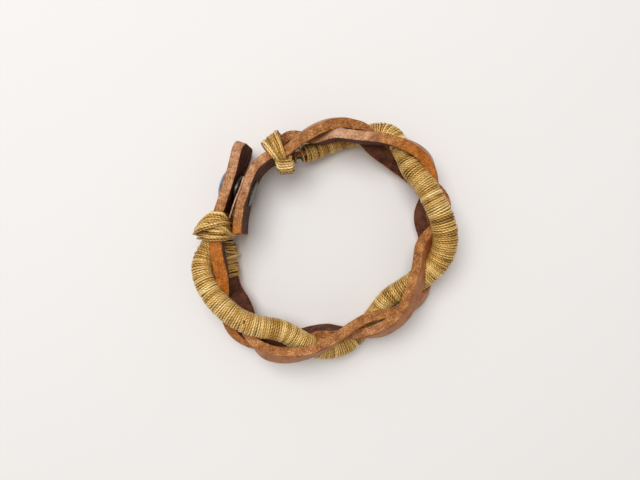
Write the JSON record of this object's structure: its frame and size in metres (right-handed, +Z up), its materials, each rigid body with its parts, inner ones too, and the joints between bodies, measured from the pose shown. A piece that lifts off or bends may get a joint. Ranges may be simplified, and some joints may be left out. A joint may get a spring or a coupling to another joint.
{
  "type": "braided leather snap bracelet",
  "caption": "Braided leather wristband with a thread-wrapped strand, thread-bound ends and overlapping tabs closed by a snap fastener.",
  "frame": {"origin": "under the middle of the whole bracelet, on the surface it lies on", "axes": "+Z up, along the wrist's axis; the snap is on the -X side and the tabs run towards +Y"},
  "size_m": [0.0898, 0.0838, 0.02],
  "materials": {
    "leather": "vegetable-tanned brown leather with raw tan edges",
    "gold_thread": "metallic mustard-gold wound thread",
    "snap_metal": "satin blue-grey metal"
  },
  "bodies": {
    "band": {"first_plain_strand": "leather", "second_plain_strand": "leather", "wrapped_strand_core": "leather", "thread_wrap": "gold_thread", "knot_two_turns": "gold_thread", "knot_two_loop": "gold_thread", "inner_tab": "leather", "snap_stud": "snap_metal", "snap_eyelet": "snap_metal"},
    "band_end": {"first_plain_strand_end": "leather", "second_plain_strand_end": "leather", "wrapped_strand_core_end": "leather", "thread_wrap_end": "gold_thread", "knot_one_tail": "gold_thread", "knot_one_lower_turns": "gold_thread", "knot_one_upper_turns": "gold_thread", "outer_tab_root": "leather"},
    "outer_tab_body": {"outer_tab": "leather", "snap_cap": "snap_metal", "snap_socket": "snap_metal", "snap_spring": "snap_metal"}
  },
  "joints": [
    {"name": "band_flex", "type": "hinge", "parent": "band", "child": "band_end", "pos_m": [-0.04395, -0.01963, 0.01], "axis": [0, 0, 1], "range_deg": [0, 30], "stiffness_Nm_per_rad": 0.12},
    {"name": "outer_tab_lift", "type": "hinge", "parent": "band_end", "child": "outer_tab_body", "pos_m": [-0.03428, 0.00934, 0.01], "axis": [0, 0, 1], "range_deg": [0, 45], "stiffness_Nm_per_rad": 0.02}
  ]
}
